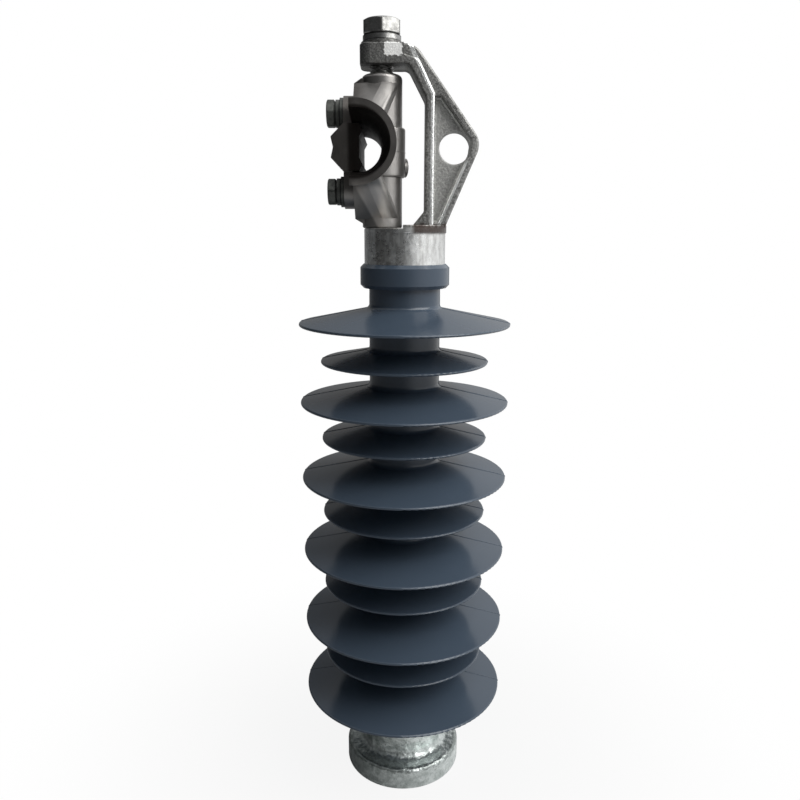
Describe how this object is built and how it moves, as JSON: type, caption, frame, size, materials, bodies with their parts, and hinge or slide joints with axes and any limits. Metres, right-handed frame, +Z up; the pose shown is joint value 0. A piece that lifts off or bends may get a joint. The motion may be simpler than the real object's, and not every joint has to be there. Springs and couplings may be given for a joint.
{
  "type": "polymer post insulator",
  "caption": "Upright polymer post insulator with silicone sheds, a tapped metal base, and a top bracket with an eye that carries a swivelling conductor clamp.",
  "frame": {"origin": "centre of the base flange's underside, which is also the bottom centre of the part's box", "axes": "+Z up along the core rod, +X towards the bracket's eye, -X towards the clamp's bolts, the conductor lies along Y"},
  "size_m": [0.15, 0.15, 0.55],
  "materials": {
    "galvanised_casting": "hot dip galvanised, mottled satin grey",
    "silicone_rubber": "satin dark blue grey",
    "glass_fibre_rod": "smooth resin and glass fibre",
    "cast_aluminium": "sand cast, fine grained satin",
    "pivot_fastener": "hot dip galvanised",
    "keeper_fastener": "dull dark grey green"
  },
  "bodies": {
    "insulator": {"core_rod": "glass_fibre_rod", "housing": "silicone_rubber", "base_fitting": "galvanised_casting", "top_fitting": "galvanised_casting", "pivot_bolt": "pivot_fastener", "pivot_spring_washer": "pivot_fastener"},
    "clamp": {"clamp_body": "cast_aluminium"},
    "keeper": {"clamp_keeper": "cast_aluminium", "keeper_bolt_upper": "keeper_fastener", "keeper_bolt_lower": "keeper_fastener", "keeper_spring_washer_upper": "keeper_fastener", "keeper_spring_washer_lower": "keeper_fastener", "keeper_flat_washer_upper": "keeper_fastener", "keeper_flat_washer_lower": "keeper_fastener"}
  },
  "joints": [
    {"name": "clamp_swivel", "type": "hinge", "parent": "insulator", "child": "clamp", "pos_m": [-0.0156, 0, 0.4665], "axis": [0, 0, 1], "range_deg": [-40, 40]},
    {"name": "keeper_slide", "type": "slide", "parent": "clamp", "child": "keeper", "axis": [-1, 0, 0], "range_m": [0, 0.012]}
  ]
}
